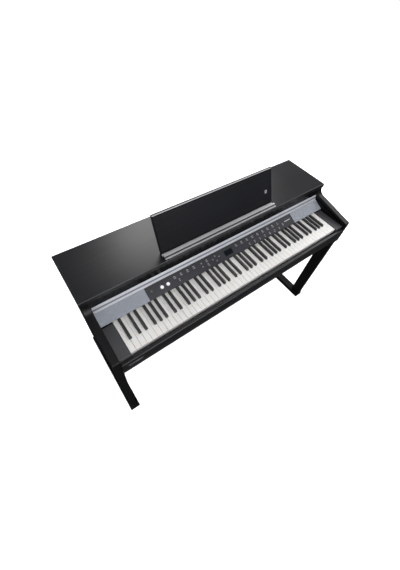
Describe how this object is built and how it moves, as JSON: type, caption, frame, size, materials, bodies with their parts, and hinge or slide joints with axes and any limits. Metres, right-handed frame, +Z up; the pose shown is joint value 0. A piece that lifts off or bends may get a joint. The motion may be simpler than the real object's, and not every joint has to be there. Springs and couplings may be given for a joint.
{
  "type": "digital piano on stand",
  "caption": "Home digital piano on a stand, with weighted keys, a sliding key cover, a folding music rest, panel controls and pedals.",
  "frame": {"origin": "middle of the footprint, on the floor", "axes": "+X to the player's right along the keyboard, +Y to the back, +Z up"},
  "size_m": [1.394, 0.56, 1.043],
  "materials": {
    "case_wood": "satin black lacquer over faint wood grain",
    "gloss_wood": "gloss black lacquer",
    "cheek_wood": "fine textured black",
    "panel_plastic": "satin blue-black moulding",
    "grille_cloth": "bluish grey speaker cloth over a plate",
    "handle_metal": "satin anodised, brushed lengthwise",
    "key_white": "ivory white satin gloss",
    "key_black": "satin black",
    "button_plastic": "moulded dark grey",
    "knob_metal": "spun silver",
    "display_glass": "smoked window",
    "pedal_metal": "polished plate",
    "steel": "zinc plated",
    "black_metal": "black paint",
    "felt": "red felt",
    "rubber": "black rubber",
    "chassis_metal": "grey folded sheet",
    "board": "green circuit board",
    "driver": "black basket and paper cone",
    "socket_plastic": "black moulding"
  },
  "bodies": {
    "case": {"back_board": "case_wood", "back_screws": "steel", "cheek_blocks": "cheek_wood", "circuit_boards": "board", "control_panel": "panel_plastic", "display_window": "display_glass", "foot_rail_left": "case_wood", "foot_rail_right": "case_wood", "front_leg_left": "case_wood", "front_leg_right": "case_wood", "glides": "rubber", "headphone_jack_box": "socket_plastic", "key_bed": "case_wood", "key_chassis": "chassis_metal", "key_pivot_rod": "steel", "key_slip": "case_wood", "key_stop_felt": "felt", "lower_back_panel": "case_wood", "music_rest_hinges": "black_metal", "music_rest_ledge": "case_wood", "pedal_axle": "steel", "pedal_box": "case_wood", "pedal_springs": "steel", "power_inlet": "socket_plastic", "power_supply": "chassis_metal", "rear_leg_left": "case_wood", "rear_leg_right": "case_wood", "side_panel_left": "case_wood", "side_panel_right": "case_wood", "speaker_grilles": "grille_cloth", "top_board": "case_wood", "tweeters": "driver", "upper_front_panel": "gloss_wood", "woofers": "driver"},
    "key_cover": {"key_cover": "gloss_wood", "key_cover_handle": "handle_metal"},
    "music_rest": {"music_rest": "case_wood", "music_rest_hinge_leaves": "black_metal"},
    "volume_knob": {"volume_knob": "knob_metal"},
    "brilliance_knob": {"brilliance_knob": "knob_metal"},
    "power_button": {"power_button": "button_plastic"},
    "function_buttons": {"function_buttons": "button_plastic"},
    "cursor_buttons": {"cursor_buttons": "button_plastic"},
    "sound_buttons": {"sound_buttons": "button_plastic"},
    "rhythm_buttons": {"rhythm_buttons": "button_plastic"},
    "pedal_left": {"pedal_left": "pedal_metal"},
    "pedal_middle": {"pedal_middle": "pedal_metal"},
    "pedal_right": {"pedal_right": "pedal_metal"},
    "keys_a": {"keys_a": "key_white"},
    "keys_a_sharp": {"keys_a_sharp": "key_black"},
    "keys_b": {"keys_b": "key_white"},
    "keys_c": {"keys_c": "key_white"},
    "keys_c_sharp": {"keys_c_sharp": "key_black"},
    "keys_d": {"keys_d": "key_white"},
    "keys_d_sharp": {"keys_d_sharp": "key_black"},
    "keys_e": {"keys_e": "key_white"},
    "keys_f": {"keys_f": "key_white"},
    "keys_f_sharp": {"keys_f_sharp": "key_black"},
    "keys_g": {"keys_g": "key_white"},
    "keys_g_sharp": {"keys_g_sharp": "key_black"}
  },
  "joints": [
    {"name": "key_cover_slide", "type": "slide", "parent": "case", "child": "key_cover", "axis": [0, -0.9832, -0.1824], "range_m": [0, 0.205]},
    {"name": "music_rest_fold", "type": "hinge", "parent": "case", "child": "music_rest", "pos_m": [0, 0.01196, 0.879], "axis": [-1, 0, 0], "range_deg": [0, 70]},
    {"name": "volume_knob_turn", "type": "hinge", "parent": "case", "child": "volume_knob", "pos_m": [-0.371, -0.08514, 0.77228], "axis": [0, -0.4403, 0.8979], "range_deg": [-150, 150]},
    {"name": "brilliance_knob_turn", "type": "hinge", "parent": "case", "child": "brilliance_knob", "pos_m": [-0.341, -0.08514, 0.77228], "axis": [0, -0.4403, 0.8979], "range_deg": [-150, 150]},
    {"name": "power_button_press", "type": "slide", "parent": "case", "child": "power_button", "axis": [0, 0.4403, -0.8979], "range_m": [0, 0.0008], "stiffness_N_per_m": 1500, "springref_m": -0.0008},
    {"name": "function_buttons_press", "type": "slide", "parent": "case", "child": "function_buttons", "axis": [0, 0.4403, -0.8979], "range_m": [0, 0.0008], "stiffness_N_per_m": 1500, "springref_m": -0.0008},
    {"name": "cursor_buttons_press", "type": "slide", "parent": "case", "child": "cursor_buttons", "axis": [0, 0.4403, -0.8979], "range_m": [0, 0.0008], "stiffness_N_per_m": 1500, "springref_m": -0.0008},
    {"name": "sound_buttons_press", "type": "slide", "parent": "case", "child": "sound_buttons", "axis": [0, 0.4403, -0.8979], "range_m": [0, 0.0008], "stiffness_N_per_m": 1500, "springref_m": -0.0008},
    {"name": "rhythm_buttons_press", "type": "slide", "parent": "case", "child": "rhythm_buttons", "axis": [0, 0.4403, -0.8979], "range_m": [0, 0.0008], "stiffness_N_per_m": 1500, "springref_m": -0.0008},
    {"name": "pedal_left_press", "type": "hinge", "parent": "case", "child": "pedal_left", "pos_m": [0, 0.145, 0.082], "axis": [1, 0, 0], "range_deg": [0, 4.73], "stiffness_Nm_per_rad": 25, "springref_deg": -6.88},
    {"name": "pedal_middle_press", "type": "hinge", "parent": "case", "child": "pedal_middle", "pos_m": [0, 0.145, 0.082], "axis": [1, 0, 0], "range_deg": [0, 4.73], "stiffness_Nm_per_rad": 25, "springref_deg": -6.88},
    {"name": "pedal_right_press", "type": "hinge", "parent": "case", "child": "pedal_right", "pos_m": [0, 0.145, 0.082], "axis": [1, 0, 0], "range_deg": [0, 4.73], "stiffness_Nm_per_rad": 25, "springref_deg": -6.88},
    {"name": "keys_a_press", "type": "hinge", "parent": "case", "child": "keys_a", "pos_m": [0, 0, 0.728], "axis": [1, 0, 0], "range_deg": [0, 2.25], "stiffness_Nm_per_rad": 40, "springref_deg": -4.01},
    {"name": "keys_a_sharp_press", "type": "hinge", "parent": "case", "child": "keys_a_sharp", "pos_m": [0, 0, 0.728], "axis": [1, 0, 0], "range_deg": [0, 2.25], "stiffness_Nm_per_rad": 25, "springref_deg": -3.44},
    {"name": "keys_b_press", "type": "hinge", "parent": "case", "child": "keys_b", "pos_m": [0, 0, 0.728], "axis": [1, 0, 0], "range_deg": [0, 2.25], "stiffness_Nm_per_rad": 40, "springref_deg": -4.01},
    {"name": "keys_c_press", "type": "hinge", "parent": "case", "child": "keys_c", "pos_m": [0, 0, 0.728], "axis": [1, 0, 0], "range_deg": [0, 2.25], "stiffness_Nm_per_rad": 40, "springref_deg": -4.01},
    {"name": "keys_c_sharp_press", "type": "hinge", "parent": "case", "child": "keys_c_sharp", "pos_m": [0, 0, 0.728], "axis": [1, 0, 0], "range_deg": [0, 2.25], "stiffness_Nm_per_rad": 25, "springref_deg": -3.44},
    {"name": "keys_d_press", "type": "hinge", "parent": "case", "child": "keys_d", "pos_m": [0, 0, 0.728], "axis": [1, 0, 0], "range_deg": [0, 2.25], "stiffness_Nm_per_rad": 40, "springref_deg": -4.01},
    {"name": "keys_d_sharp_press", "type": "hinge", "parent": "case", "child": "keys_d_sharp", "pos_m": [0, 0, 0.728], "axis": [1, 0, 0], "range_deg": [0, 2.25], "stiffness_Nm_per_rad": 25, "springref_deg": -3.44},
    {"name": "keys_e_press", "type": "hinge", "parent": "case", "child": "keys_e", "pos_m": [0, 0, 0.728], "axis": [1, 0, 0], "range_deg": [0, 2.25], "stiffness_Nm_per_rad": 40, "springref_deg": -4.01},
    {"name": "keys_f_press", "type": "hinge", "parent": "case", "child": "keys_f", "pos_m": [0, 0, 0.728], "axis": [1, 0, 0], "range_deg": [0, 2.25], "stiffness_Nm_per_rad": 40, "springref_deg": -4.01},
    {"name": "keys_f_sharp_press", "type": "hinge", "parent": "case", "child": "keys_f_sharp", "pos_m": [0, 0, 0.728], "axis": [1, 0, 0], "range_deg": [0, 2.25], "stiffness_Nm_per_rad": 25, "springref_deg": -3.44},
    {"name": "keys_g_press", "type": "hinge", "parent": "case", "child": "keys_g", "pos_m": [0, 0, 0.728], "axis": [1, 0, 0], "range_deg": [0, 2.25], "stiffness_Nm_per_rad": 40, "springref_deg": -4.01},
    {"name": "keys_g_sharp_press", "type": "hinge", "parent": "case", "child": "keys_g_sharp", "pos_m": [0, 0, 0.728], "axis": [1, 0, 0], "range_deg": [0, 2.25], "stiffness_Nm_per_rad": 25, "springref_deg": -3.44}
  ]
}
